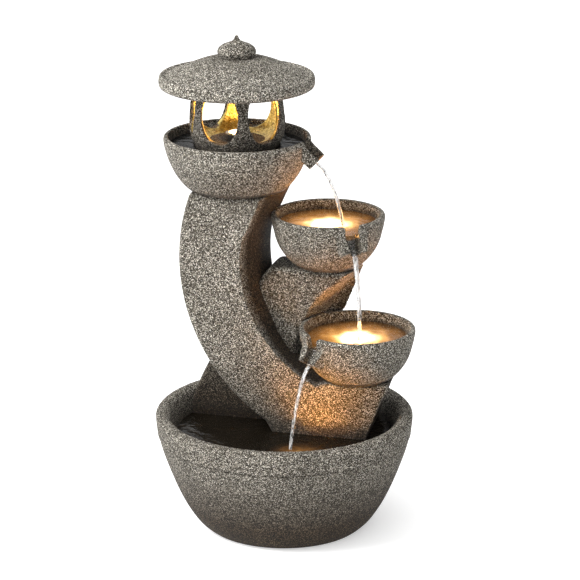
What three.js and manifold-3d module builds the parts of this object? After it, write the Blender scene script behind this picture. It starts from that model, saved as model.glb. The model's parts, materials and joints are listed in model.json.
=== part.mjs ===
// Tiered water fountain: a round basin, two interlocked crescent columns, three
// spouted bowls and a lantern with a lift-off roof, with its pump, hose and lamps.
// Millimetres, +Z up, -Y is the front. The origin is the centre of the basin's flat base.
import * as THREE from 'three';
import { mergeVertices } from 'three/addons/utils/BufferGeometryUtils.js';
import Module from 'manifold-3d';

const wasm = await Module();
wasm.setup();

// ---------- driving dimensions ----------
const GAP = 0.3;                       // clearance between touching pieces
const BASIN_R = 200;                   // widest radius, at the rim
const BASIN_H = 183;
const FLOOR_Z = 16;                    // top of the basin's floor
const FLOOR_R = 112;
const FRONT_Y = -10;                   // front face of the front crescent
const REAR_Y = 40;                     // front face of the rear crescent
const BACK_Y = 110;                    // common back face of both crescents
const WALL = 10;                       // shell thickness of the crescents
const ARC = { x: 136.5, z: 418, outer: 304, inner: 206 };
const REAR_TOP = 400;
const CRESCENT_TOP = 521.7;            // flat shelf under the top bowl
const TOP_BOWL = { x: -89.5, y: 55, rim: 603, r: 114, wall: 9, turn: 0 };
const MIDDLE_BOWL = { x: 50.5, y: 74, rim: 484.3, r: 88.5, wall: 8, turn: -50 };
const LOWER_BOWL = { x: 109, y: 29, rim: 318, r: 90, wall: 8, turn: -129 };
const CAGE_FLOOR = 598;
const CAGE_TOP = 690;
const PILLARS = 6;
const FIRST_PILLAR = -67;              // angle of one pillar's centre, degrees
const ROOF_R = 120;
const PUMP = { x: -45, y: 77, z: 22 }; // centre of the pump's underside
const SPOT = { x: 55, y: -70 };        // basin spotlight
const RAD = Math.PI / 180;

// ---------- materials ----------
function material(color, roughness, metalness = 0) {
  return new THREE.MeshStandardMaterial({ color, roughness, metalness });
}
const STONE = material(0x6b6862, 0.85);
const GOLD = material(0x8a7648, 0.55, 0.2);
const PUMP_BLACK = material(0x1b1c1e, 0.5);
const DARK_GREY = material(0x3a3c40, 0.5);
const CLEAR = material(0xf3e6c4, 0.1);
const STEEL = material(0xb9bbbd, 0.3, 1);
const RUBBER = material(0x141414, 0.9);
const HOSE = material(0xc9d2d0, 0.35);
const FOAM = material(0x2e3a40, 1);
const CERAMIC = material(0xe8e4da, 0.3);
const MAGNET = material(0x4c4f55, 0.4, 0.3);

// ---------- solids ----------
// Welds a geometry into one closed body whose faces point out.
function closed(geometry) {
  const bare = new THREE.BufferGeometry();
  bare.setAttribute('position', geometry.getAttribute('position'));
  if (geometry.index) bare.setIndex(geometry.index);
  const welded = mergeVertices(bare, 1e-3);
  const p = welded.getAttribute('position').array;
  const tris = [];
  let volume = 0;
  for (let i = 0; i < welded.index.count; i += 3) {
    const [a, b, c] = [0, 1, 2].map((k) => welded.index.getX(i + k));
    if (a === b || b === c || a === c) continue;
    tris.push(a, b, c);
    const [va, vb, vc] = [a, b, c].map((k) => new THREE.Vector3().fromArray(p, 3 * k));
    volume += va.dot(vb.cross(vc));
  }
  if (volume < 0) {
    for (let i = 0; i < tris.length; i += 3) [tris[i], tris[i + 1]] = [tris[i + 1], tris[i]];
  }
  welded.setIndex(tris);
  return welded;
}

function solid(geometry) {
  const g = closed(geometry);
  return new wasm.Manifold(new wasm.Mesh({
    numProp: 3,
    vertProperties: new Float32Array(g.getAttribute('position').array),
    triVerts: new Uint32Array(g.index.array),
  }));
}

function geometryOf(body) {
  const mesh = body.getMesh();
  const g = new THREE.BufferGeometry();
  g.setAttribute('position', new THREE.BufferAttribute(mesh.vertProperties, 3));
  g.setIndex(new THREE.BufferAttribute(mesh.triVerts, 1));
  return g;
}

function unite(first, ...rest) {
  return rest.reduce((sum, next) => sum.add(next), first);
}

function cut(first, ...rest) {
  return rest.reduce((left, next) => left.subtract(next), first);
}

const fountain = new THREE.Group();
function piece(name, shape, mat) {
  const geometry = shape instanceof THREE.BufferGeometry ? closed(shape) : geometryOf(shape);
  geometry.computeVertexNormals();
  const mesh = new THREE.Mesh(geometry, mat);
  mesh.name = name;
  fountain.add(mesh);
  return mesh;
}

// A profile of [radius, z] pairs turned about the Z axis.
function turned(profile, segments) {
  const points = profile.map(([r, z]) => new THREE.Vector2(r, z));
  return new THREE.LatheGeometry(points, segments).rotateX(Math.PI / 2);
}

function at(geometry, x, y, z) {
  return geometry.translate(x, y, z);
}

function box(x0, x1, y0, y1, z0, z1) {
  const g = new THREE.BoxGeometry(x1 - x0, y1 - y0, z1 - z0);
  return at(g, (x0 + x1) / 2, (y0 + y1) / 2, (z0 + z1) / 2);
}

// A disc or ring standing on z, about a vertical axis.
function disc(x, y, z, r, height, hole = 0, segments = 16) {
  const profile = hole > 0
    ? [[hole, 0], [r, 0], [r, height], [hole, height], [hole, 0]]
    : [[0, 0], [r, 0], [r, height], [0, height]];
  return at(turned(profile, segments), x, y, z);
}

// A cylinder between two points.
function rod(from, to, r, segments = 16) {
  const a = new THREE.Vector3(...from);
  const b = new THREE.Vector3(...to);
  const g = new THREE.CylinderGeometry(r, r, a.distanceTo(b), segments);
  const up = new THREE.Vector3(0, 1, 0);
  g.applyQuaternion(new THREE.Quaternion().setFromUnitVectors(up, b.clone().sub(a).normalize()));
  return g.translate(...a.add(b).multiplyScalar(0.5).toArray());
}

// An XZ outline stretched from one Y to another.
function slab(shape, y0, y1, curveSegments = 8, steps = 1) {
  const options = { depth: y1 - y0, steps, bevelEnabled: false, curveSegments };
  const g = new THREE.ExtrudeGeometry(shape, options);
  return g.rotateX(Math.PI / 2).translate(0, y1, 0);
}

// A round tube along a smooth curve through the points.
function tube(points, r, sides, steps, hole = 0) {
  const section = new THREE.Shape().absarc(0, 0, r, 0, 2 * Math.PI);
  if (hole > 0) section.holes.push(new THREE.Path().absarc(0, 0, hole, 0, 2 * Math.PI, true));
  const path = new THREE.CatmullRomCurve3(points.map((p) => new THREE.Vector3(...p)));
  const options = { extrudePath: path, steps, bevelEnabled: false, curveSegments: sides / 2 };
  return new THREE.ExtrudeGeometry(section, options);
}

// ---------- basin ----------
const BASIN_INSIDE = [[FLOOR_R, FLOOR_Z], [128, 25], [145, 58], [160, 108], [169, 150], [176, 172]];
const SEAM_Z = 147;                    // shallow mould line round the outside
const GLAND_Z = 163;

function basin() {
  const rim = [[180, 179], [186, BASIN_H], [193.5, BASIN_H], [198.5, 180], [BASIN_R, 174]];
  const outside = [[197.4, SEAM_Z + 1], [196, SEAM_Z - 1], [190, 124], [178, 90], [166.5, 62],
    [154.5, 38], [140, 16], [128, 4], [120, 0]];
  const profile = [[0, FLOOR_Z], ...BASIN_INSIDE, ...rim, ...outside, [0, 0]];
  const drain = disc(DRAIN.x, DRAIN.y, -5, DRAIN.r + GAP, 40);
  const glandHole = rod([0, 140, GLAND_Z], [0, 230, GLAND_Z], 6 + GAP);
  return cut(solid(turned(profile, 40)), solid(drain), solid(glandHole));
}

// The room that the basin leaves for what stands in it.
function roomInBasin() {
  const inside = BASIN_INSIDE.map(([r, z]) => [r - GAP, z + GAP]);
  const shoulder = 236;
  const above = [[176, shoulder], [400, shoulder], [400, 900], [0, 900]];
  return solid(turned([[0, FLOOR_Z + GAP], ...inside, ...above], 40));
}

const DRAIN = { x: -20, y: -75, r: 11 };
function drainPlug() {
  const { x, y, r } = DRAIN;
  return unite(
    solid(disc(x, y, 3, r - 1, FLOOR_Z + 1)),
    solid(disc(x, y, FLOOR_Z + GAP, r + 5, 5)),
    solid(disc(x, y, FLOOR_Z + 4, 3.5, 14, 0, 12)),
  );
}

// ---------- crescents ----------
function crescentOutline() {
  const start = Math.PI - Math.asin((CRESCENT_TOP - ARC.z) / ARC.outer);
  const s = new THREE.Shape();
  s.absarc(ARC.x, ARC.z, ARC.outer, start, 237 * RAD);
  [[-18, 145], [-4, 127], [7, 95], [12, FLOOR_Z]].forEach((p) => s.lineTo(...p));
  [[112, FLOOR_Z], [116, 80], [124, 120], [133, 151], [147, 188], [166, 230], [166, 240], [78, 246]]
    .forEach((p) => s.lineTo(...p));
  s.absarc(ARC.x, ARC.z, ARC.inner, 246 * RAD, 170 * RAD, true);
  [[-55, 477], [-47, 496], [-35, CRESCENT_TOP]].forEach((p) => s.lineTo(...p));
  return s;
}

function crescentHollow() {
  const s = new THREE.Shape();
  s.absarc(ARC.x, ARC.z, ARC.outer - WALL, 162 * RAD, 236 * RAD);
  [[20, 112], [23, FLOOR_Z - 5], [101, FLOOR_Z - 5], [106, 90], [123, 150], [146, 222], [90, 222]]
    .forEach((p) => s.lineTo(...p));
  s.absarc(ARC.x, ARC.z, ARC.inner + WALL, 244 * RAD, 166 * RAD, true);
  return s;
}

// The crescent's inner side leans outwards towards the back, and the end of its foot tucks in.
const FLARE = 20;
const TUCK = 10;
function flareInnerSide(geometry) {
  const p = geometry.getAttribute('position');
  for (let i = 0; i < p.count; i += 1) {
    const [x, y, z] = [p.getX(i), p.getY(i), p.getZ(i)];
    const depth = (y - FRONT_Y) / (BACK_Y - FRONT_Y);
    const across = (ARC.outer - Math.hypot(x - ARC.x, z - ARC.z)) / (ARC.outer - ARC.inner);
    const fade = THREE.MathUtils.clamp((z - 250) / 70, 0, 1);
    const lean = FLARE * Math.sin(Math.min(1, depth * 1.3) * Math.PI / 2);
    const tuck = TUCK * depth * THREE.MathUtils.clamp((x - 100) / 60, 0, 1);
    p.setX(i, x + lean * fade * THREE.MathUtils.clamp(across, 0, 1) - tuck);
  }
  return geometry;
}

// The rear crescent's sides, from foot to top; grow widens it for clearance cuts.
const REAR_LEFT = [[-150, FLOOR_Z], [-163, 110], [-167, 151], [-156, 190], [-134, 238], [-86, 318],
  [-47, 384], [-32, REAR_TOP]];
const REAR_FLARE = 26;                 // lean of its right side towards the back
const REAR_RIGHT = [[96, REAR_TOP], [72, 378], [52, 363], [37, 346], [26, 329], [12, 295], [2, 250],
  [-4, 200], [-4, 150], [2, 100], [4, FLOOR_Z]];

function rearOutline(grow) {
  const s = new THREE.Shape();
  REAR_LEFT.forEach(([x, z], i) => (i ? s.lineTo(x - grow, z + grow) : s.moveTo(x - grow, z - grow)));
  REAR_RIGHT.forEach(([x, z], i) => s.lineTo(x + grow, z + (i ? 0 : grow)));
  return s;
}

function rearSlab(grow) {
  const g = slab(rearOutline(grow), REAR_Y, BACK_Y, 1, 3);
  const p = g.getAttribute('position');
  for (let i = 0; i < p.count; i += 1) {
    const [x, y, z] = [p.getX(i), p.getY(i), p.getZ(i)];
    const depth = (y - REAR_Y) / (BACK_Y - REAR_Y);
    const right = x > -20 && z > 120 ? 1 : 0;
    const rise = Math.sin(THREE.MathUtils.clamp((z - 200) / 130, 0, 1) * Math.PI / 2);
    const top = THREE.MathUtils.clamp((REAR_TOP + 10 - z) / 50, 0, 1);
    p.setX(i, x + REAR_FLARE * depth * right * rise * top);
    if (depth < 0.01) p.setY(i, REAR_Y - grow);
    if (depth > 0.99) p.setY(i, BACK_Y + grow);
  }
  return g;
}

function rearHollow() {
  const s = new THREE.Shape();
  const left = REAR_LEFT.slice(0, 7).map(([x, z]) => [x + 1.3 * WALL, z - 4]);
  const right = REAR_RIGHT.slice(2).map(([x, z]) => [x - WALL, z - 4]);
  [...left, ...right].forEach(([x, z], i) => (i ? s.lineTo(x, z) : s.moveTo(x, z)));
  return s;
}

// Routes inside the fountain, from the pump and the splitter box.
const HOSE_ROUTE = [[PUMP.x, PUMP.y, 73], [PUMP.x, PUMP.y, 95], [-54, 77, 155], [-80, 78, 230],
  [-106, 76, 310], [-120, 70, 385], [-112, 60, 448], [-92, 55, 486],
  [TOP_BOWL.x, TOP_BOWL.y, 504], [TOP_BOWL.x, TOP_BOWL.y, 511], [TOP_BOWL.x, TOP_BOWL.y, 518]];
const LANTERN_LEAD = [[TOP_BOWL.x + 21, 55, 597], [TOP_BOWL.x + 21, 55, 550],
  [TOP_BOWL.x + 21, 55, 515], [TOP_BOWL.x + 21, 55, 496], [-84, 72, 450], [-99, 86, 400],
  [-88, 92, 310], [-82, 94, 240], [-95, 92, 190], [-106, 85, 162], [-106, 85, 149]];
const MIDDLE_LEAD = [[MIDDLE_BOWL.x, 74, 413], [MIDDLE_BOWL.x, 74, 392], [22, 78, 354], [-8, 86, 310],
  [-34, 92, 260], [-66, 95, 200], [-92, 86, 168], [-98, 76, 160], [-98, 74, 149]];
const LOWER_LEAD = [[109, 29, 247], [109, 29, 215], [98, 45, 150], [76, 68, 70], [50, 86, 28], [14, 92, 24],
  [-13, 93, 40], [-14, 94, 90], [-32, 94, 120], [-60, 94, 130], [-82, 92, 128], [-91.3, 92, 128]];
const SPOT_LEAD = [[SPOT.x - 21.5, SPOT.y, 19.5], [SPOT.x - 30, SPOT.y, 19.5], [-30, -42, 19.5],
  [-75, -22, 19.5], [-93, 15, 20.5], [-96, 48, 22], [-103, 70, 60], [-106, 74, 100], [-106, 74, 118.5]];
const PUMP_LEAD = [[PUMP.x - 23, PUMP.y + 8, 50], [PUMP.x - 29, PUMP.y + 8, 50], [-84, 80, 60],
  [-97, 84, 100], [-98, 86, 118.5]];
const POWER_LEAD = [[-91.3, 72, 140], [-84, 74, 140], [-64, 104, 150], [-42, 128, 158], [-14, 146, GLAND_Z],
  [0, 156, GLAND_Z], [0, 166, GLAND_Z]];
const LEAD_R = 2.5;
const DOOR = { x0: -72, x1: -18, z0: 58, z1: 112 };   // service opening behind the pump

function frontCrescent(room, seats, rearBody) {
  const body = solid(flareInnerSide(slab(crescentOutline(), FRONT_Y, BACK_Y, 9, 3)));
  const hollow = solid(slab(crescentHollow(), FRONT_Y + WALL, BACK_Y - WALL));
  const arch = solid(box(0, 40, 80, 106, 5, 40));
  const hoseBore = solid(disc(TOP_BOWL.x, TOP_BOWL.y, 470, 26, 60));
  const lampBore = solid(disc(LOWER_BOWL.x, LOWER_BOWL.y, 205, 8, 60));
  return cut(body, hollow, rearBody, arch, hoseBore, lampBore, ...seats).intersect(room);
}

function rearCrescent(room, seats) {
  const body = solid(rearSlab(0));
  const hollow = solid(slab(rearHollow(), REAR_Y + WALL, BACK_Y - WALL));
  const doorway = solid(box(DOOR.x0, DOOR.x1, 90, BACK_Y + 5, DOOR.z0, DOOR.z1));
  const arch = solid(box(-14, 12, 84, 99, 5, 48));
  const leadArch = solid(box(-104, -88, 30, 60, 5, 30));
  const hoseWay = solid(tube(HOSE_ROUTE.slice(2, 7), 15, 10, 10));
  const lanternWay = solid(tube(LANTERN_LEAD.slice(4, 9), 5, 8, 16));
  const middleWay = solid(tube(MIDDLE_LEAD.slice(0, 4), 5, 8, 12));
  const powerWay = solid(rod([-74, 88, 146], [-46, 122, 156], 7));
  return cut(body, hollow, doorway, arch, leadArch, hoseWay, lanternWay, middleWay, powerWay, ...seats)
    .intersect(room);
}

// A plate that drops into the doorway at the back, with a finger hole as its handle.
function pumpDoor() {
  const { x0, x1, z0, z1 } = DOOR;
  const plate = box(x0 + 1, x1 - 1, BACK_Y - 7, BACK_Y - 1, z0 + 1, z1 - 1);
  const ribs = [0.3, 0.5, 0.7].map((t) => {
    const z = z0 + t * (z1 - z0);
    return solid(box(x0 + 8, x1 - 8, BACK_Y - 2, BACK_Y + 1, z - 2, z + 2));
  });
  const middle = (x0 + x1) / 2;
  const fingerHole = solid(rod([middle, BACK_Y - 10, z1 - 13], [middle, BACK_Y + 3, z1 - 13], 8));
  return cut(unite(solid(plate), ...ribs), fingerHole);
}

// ---------- bowls ----------
// A spout is a trough on the bowl's +X side, sloping down and out from the rim.
// Its lip and the channel along it each have a width at the rim and a width at the tip.
const TOP_SPOUT = { slope: 43, start: 105, length: 40, lip: [46, 42], channel: [34, 30], depth: 13 };
const SMALL_SPOUT = { slope: 58, start: 75, length: 46.5, lip: [62, 38], channel: [28, 16.5], depth: 10 };
function trough(spec, [w0, w1], back, beyond, thick) {
  const length = spec.length + beyond;
  const s = new THREE.Shape();
  const k = (w1 - w0) / length / 2;
  [[-back, -w0 / 2 + k * back], [length, -w1 / 2], [length, w1 / 2], [-back, w0 / 2 - k * back]]
    .forEach(([u, v], i) => (i ? s.lineTo(u, v) : s.moveTo(u, v)));
  const g = new THREE.ExtrudeGeometry(s, { depth: thick[1] - thick[0], bevelEnabled: false });
  return g.translate(0, 0, thick[0]).rotateY(spec.slope * RAD).translate(spec.start, 0, 0);
}

function spouted(outside, inside, spec) {
  const above = solid(box(-150, 150, -60, 60, 0, 60));
  const lip = cut(solid(trough(spec, spec.lip, 6, 0, [-20, 0])), above);
  const channel = solid(trough(spec, spec.channel, 22, 5, [-spec.depth, 40]));
  return cut(unite(solid(outside), lip), solid(inside), channel);
}

function place(body, bowl) {
  return solid(geometryOf(body).rotateZ(bowl.turn * RAD).translate(bowl.x, bowl.y, bowl.rim));
}

const TOP_SIDE = [[76, -81], [88, -69], [98, -54], [107, -34], [112.5, -15], [TOP_BOWL.r, -4]];
const SMALL_BOTTOM = [[0, -84], [44, -84], [52, -80.5], [65, -69], [76, -54], [83, -38], [87, -20]];
function smallOutside(r, grow = 0) {
  const scale = (r + grow) / 90;
  return [...SMALL_BOTTOM.map(([x, z]) => [x * scale, z - grow]), [r + grow, -6]];
}

function topBowl() {
  const { r, wall } = TOP_BOWL;
  const outside = turned([[0, -81], ...TOP_SIDE, [r - 2, 0], [r - 5, 1], [0, 1]], 36);
  const ri = r - wall;
  const inside = turned([[0, -70], [66, -70], [76, -63], [86, -52], [96, -34], [ri, -10], [ri + 2, 0],
    [ri + 4, 3], [0, 3]], 36);
  const bores = [disc(0, 0, -120, 11, 60), disc(21, 0, -120, 4, 60, 0, 12)].map(solid);
  return place(cut(spouted(outside, inside, TOP_SPOUT), ...bores), TOP_BOWL);
}

function smallBowl(bowl) {
  const { r, wall } = bowl;
  const outside = turned([...smallOutside(r), [r - 2, 0], [0, 0]], 32);
  const inside = turned([[0, -70], [46, -70], [60, -60], [70, -44], [77, -24], [r - wall - 2, -8],
    [r - wall + 1, 1], [0, 1]], 32);
  const bore = solid(disc(0, 0, -90, 5, 30, 0, 12));
  return place(cut(spouted(outside, inside, SMALL_SPOUT), bore), bowl);
}

// The bowl's outside, grown by the clearance, for cutting its seat in what carries it.
function seatOf(bowl) {
  const profile = smallOutside(bowl.r, GAP);
  return place(solid(turned([...profile, [bowl.r + GAP, 2], [0, 2]], 32)), bowl);
}

// ---------- lantern ----------
function lanternCage() {
  const outside = [[56, 533 + GAP], [56, 550], [63, 584], [73, 608], [76.8, 630], [75, 655], [70.5, 676],
    [73, CAGE_TOP]];
  const inside = [[63, CAGE_TOP], [62, 676], [67, 655], [69, 630], [63, 608], [44, CAGE_FLOOR],
    [9, CAGE_FLOOR], [9, 590], [44, 588], [48, 575], [48, 533 + GAP], [56, 533 + GAP]];
  const shell = solid(turned([...outside, ...inside], 30));
  const cuts = [];
  for (let k = 0; k < PILLARS; k += 1) {
    const turn = (FIRST_PILLAR + 30 + 60 * k) * RAD;
    const oval = new THREE.Shape().absellipse(0, 0, 30.5, 42, 0, 2 * Math.PI);
    const window = slab(oval, 0, 60, 7).translate(0, 35, 645).rotateZ(turn - Math.PI / 2);
    cuts.push(solid(window));
    const weep = box(-5, 5, 30, 70, 532, 550).rotateZ(turn - Math.PI / 2);
    if (k % 2 === 0) cuts.push(solid(weep));
  }
  const leadHole = solid(disc(21, 0, 505, 4, 120, 0, 12));
  return cut(solid(geometryOf(cut(shell, ...cuts))), leadHole)
    .translate([TOP_BOWL.x, TOP_BOWL.y, 0]);
}

function lanternRoof() {
  const seat = CAGE_TOP + GAP;
  const slope = [[0, 727], [30, 726], [48, 722.5], [67, 717.5], [86, 711], [ROOF_R - 9, 699.5]];
  const edge = [[ROOF_R - 2, 694.5], [ROOF_R, 689], [ROOF_R - 2.5, 683], [ROOF_R - 8, 679]];
  const underside = [[ROOF_R - 15, 678], [93, 682], [80, seat], [60, seat], [60, seat - 8],
    [55, seat - 8], [53, seat + 4], [0, seat + 10]];
  const profile = [...slope, ...edge, ...underside];
  return at(turned(profile, 40), TOP_BOWL.x, TOP_BOWL.y, 0);
}

function finial() {
  const profile = [[0, 727.3], [25, 727.3], [25.5, 730], [29, 731.5], [29.5, 736], [27, 741], [21, 745.5],
    [12, 749], [6, 752], [3.5, 756], [2, 759], [0, 760]];
  return at(turned(profile, 20), TOP_BOWL.x, TOP_BOWL.y, 0);
}

// ---------- lamps ----------
// A sealed LED puck: housing, clear lens and the ring that clamps it.
function lamp(name, x, y, z, r) {
  const cup = [[0, 0], [r, 0], [r, 8], [r - 2.5, 8], [r - 2.5, 3], [0, 3]];
  const dome = [[0, 3 + GAP], [r - 2.5 - GAP, 3 + GAP], [r - 2.5 - GAP, 8], [r - 6, 11.5], [0, 13]];
  const ring = [[r - 2.2, 8 + GAP], [r + 1.5, 8 + GAP], [r + 1.5, 10.5], [r - 2.2, 10.5],
    [r - 2.2, 8 + GAP]];
  const parts = [
    [`${name}_housing`, cup, PUMP_BLACK],
    [`${name}_lens`, dome, CLEAR],
    [`${name}_ring`, ring, STEEL],
  ];
  return parts.map(([label, profile, mat]) => piece(label, at(turned(profile, 16), x, y, z), mat));
}

const SPOT_PIVOT = [SPOT.x, SPOT.y, 40];
const SPOT_TILT = 35;                  // the head leans back towards the crescent's foot
function spotlight() {
  const [x, y, z] = SPOT_PIVOT;
  const base = box(x - 21, x + 19, y - 10, y + 10, FLOOR_Z + GAP, FLOOR_Z + 4);
  const ears = [x - 17.5, x + 17.5]
    .map((mid) => solid(box(mid - 1.5, mid + 1.5, y - 5, y + 5, FLOOR_Z + 3, z + 5)));
  const holes = solid(rod([x - 30, y, z], [x + 30, y, z], 3 + GAP));
  piece('spot_bracket', cut(unite(solid(base), ...ears), holes), DARK_GREY);
  const head = lamp('spot_lamp', 0, 0, -5, 14);
  const pins = solid(rod([-19.5, 0, 0], [19.5, 0, 0], 3)).subtract(solid(rod([-13, 0, 0], [13, 0, 0], 5)));
  const cup = cut(solid(head[0].geometry), solid(new THREE.BufferGeometry().copy(head[1].geometry)));
  head[0].geometry = closed(geometryOf(cup.add(pins.subtract(solid(box(-12, 12, -6, 6, -6, 6))))));
  head.forEach((mesh) => {
    mesh.rotation.x = -SPOT_TILT * RAD;
    mesh.position.set(x, y, z);
  });
}

// ---------- pump ----------
function pump() {
  const { x, y, z } = PUMP;
  const half = { x: 26, y: 22 };
  const top = z + 46;
  const shellBox = box(x - half.x, x + half.x, y - half.y, y + half.y, z, top);
  const front = box(x - half.x + 3, x + half.x - 3, y - half.y - 1, y - half.y + 12, z + 3, top - 3);
  const chamber = rod([x, y - half.y, z + 24], [x, y + 16, z + 24], 13, 20);
  const nozzleBore = rod([x, y, z + 24], [x, y, top + 2], 5);
  const cordHole = rod([x - half.x - 1, y + 8, 50], [x - half.x + 6, y + 8, 50], LEAD_R + GAP);
  const hollows = [front, chamber, nozzleBore, cordHole].map(solid);
  piece('pump_housing', cut(solid(shellBox), ...hollows), PUMP_BLACK);

  const cover = box(x - half.x + 3.3, x + half.x - 3.3, y - half.y - 1, y - half.y + 2, z + 3.3, top - 3.3);
  const slots = [];
  for (let k = -3; k <= 3; k += 1) {
    const sx = x + 5.4 * k;
    slots.push(solid(box(sx - 1.4, sx + 1.4, y - half.y - 3, y - half.y + 4, z + 8, top - 8)));
  }
  piece('pump_intake_cover', cut(solid(cover), ...slots), DARK_GREY);
  const foam = box(x - half.x + 4, x + half.x - 4, y - half.y + 2 + GAP, y - half.y + 8, z + 4, top - 4);
  piece('pump_filter_foam', foam, FOAM);
  const plate = cut(
    solid(box(x - half.x + 4, x + half.x - 4, y - half.y + 8 + GAP, y - half.y + 11.6, z + 4, top - 4)),
    solid(rod([x, y - half.y + 6, z + 24], [x, y - half.y + 14, z + 24], 6)),
  );
  piece('pump_volute_plate', plate, DARK_GREY);

  const y0 = y - half.y + 13;
  const hub = rod([x, y0, z + 24], [x, y0 + 21, z + 24], 6.5);
  const blades = [0, 60, 120].map((turn) => {
    const blade = new THREE.BoxGeometry(22, 8, 1.6).rotateY(turn * RAD);
    return solid(blade.translate(x, y0 + 4, z + 24));
  });
  const rotorBore = rod([x, y0 - 5, z + 24], [x, y0 + 30, z + 24], 1.5 + 0.2, 12);
  piece('pump_rotor', cut(unite(solid(hub), ...blades), solid(rotorBore)), MAGNET);
  piece('pump_shaft', rod([x, y0 - 0.5, z + 24], [x, y + 16 - GAP, z + 24], 1.5, 12), CERAMIC);
  const nozzle = [[4, top - 3], [4.6, top - 3], [4.6, top + GAP], [8, top + GAP], [8, top + 4],
    [5.4, top + 4], [5.4, top + 11], [4, top + 11], [4, top - 3]];
  piece('pump_nozzle', at(turned(nozzle, 20), x, y, 0), PUMP_BLACK);
  const dial = unite(
    solid(rod([x + half.x + GAP, y - 4, z + 34], [x + half.x + 4, y - 4, z + 34], 7, 20)),
    solid(box(x + half.x + 3, x + half.x + 7, y - 5.5, y - 2.5, z + 28, z + 40)),
  );
  piece('flow_dial', dial, DARK_GREY);
  [-1, 1].forEach((sx) => [-1, 1].forEach((sy) => {
    const cup = [[0, FLOOR_Z + GAP], [6, FLOOR_Z + GAP], [4.5, FLOOR_Z + 3], [3, z - GAP], [0, z - GAP]];
    const label = `suction_cup_${sy < 0 ? 'front' : 'back'}_${sx < 0 ? 'left' : 'right'}`;
    piece(label, at(turned(cup, 16), x + sx * 14, y + sy * 10, 0), RUBBER);
  }));
}

// ---------- hose, leads and fittings ----------
function clamp(name, x, y, z) {
  piece(name, disc(x, y, z, 11, 6, 9.2, 20), STEEL);
}

function plumbing() {
  piece('riser_hose', tube(HOSE_ROUTE, 8.6, 8, 28, 6.3), HOSE);
  clamp('hose_clamp_pump', PUMP.x, PUMP.y, 75);
  clamp('hose_clamp_top', TOP_BOWL.x, TOP_BOWL.y, 511);
  const { x, y } = TOP_BOWL;
  const fitting = [[3.5, 511], [5.2, 511], [5.2, 520], [9.5, 520], [9.5, 533 + GAP], [15, 533 + GAP],
    [15, 536], [8, 536], [8, 544], [3.5, 544], [3.5, 511]];
  piece('outlet_fitting', at(turned(fitting, 20), x, y, 0), DARK_GREY);
}

function wiring() {
  const leads = {
    lantern_lamp_lead: LANTERN_LEAD,
    middle_lamp_lead: MIDDLE_LEAD,
    lower_lamp_lead: LOWER_LEAD,
    spot_lamp_lead: SPOT_LEAD,
    pump_lead: PUMP_LEAD,
    power_lead: POWER_LEAD,
  };
  Object.entries(leads).forEach(([name, route]) => {
    piece(name, tube(route, LEAD_R, 6, 3 * route.length), RUBBER);
  });
  piece('splitter_box', box(-112, -92, 62, 96, 120, 148), PUMP_BLACK);
  const collar = unite(
    solid(rod([0, 166.5, GLAND_Z], [0, 206, GLAND_Z], 6)),
    solid(rod([0, BASIN_R + GAP, GLAND_Z], [0, BASIN_R + 4, GLAND_Z], 9)),
  );
  piece('cable_gland', cut(collar, solid(rod([0, 160, GLAND_Z], [0, 220, GLAND_Z], 3))), RUBBER);
}

// ---------- assembly ----------
const room = roomInBasin();
const seats = [MIDDLE_BOWL, LOWER_BOWL].map(seatOf);
const rearClearance = solid(rearSlab(GAP));

piece('basin', basin(), STONE);
piece('drain_plug', drainPlug(), RUBBER);
piece('front_crescent', frontCrescent(room, seats, rearClearance), STONE);
piece('rear_crescent', rearCrescent(room, seats), STONE);
piece('pump_door', pumpDoor().intersect(room), STONE);
piece('top_bowl', topBowl(), STONE);
piece('middle_bowl', smallBowl(MIDDLE_BOWL), STONE);
piece('lower_bowl', smallBowl(LOWER_BOWL), STONE);
piece('lantern_cage', lanternCage(), GOLD);
piece('lantern_roof', lanternRoof(), STONE);
piece('finial', finial(), STONE);
lamp('lantern_lamp', TOP_BOWL.x, TOP_BOWL.y, CAGE_FLOOR + GAP, 16);
lamp('middle_lamp', MIDDLE_BOWL.x, MIDDLE_BOWL.y, MIDDLE_BOWL.rim - 70 + GAP, 20);
lamp('lower_lamp', LOWER_BOWL.x, LOWER_BOWL.y, LOWER_BOWL.rim - 70 + GAP, 20);
spotlight();
pump();
plumbing();
wiring();

export default fountain;
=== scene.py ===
"""Looks for the tiered water fountain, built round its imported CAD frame.

Fine cast-stone pieces replace the faceted ones, and water, lamplight, a studio floor and the
camera are added. Sizes in this file are millimetres; mesh_object turns them into metres.
"""
import json
import math

import bmesh
import bpy
from mathutils import Matrix, Vector, noise

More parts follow.
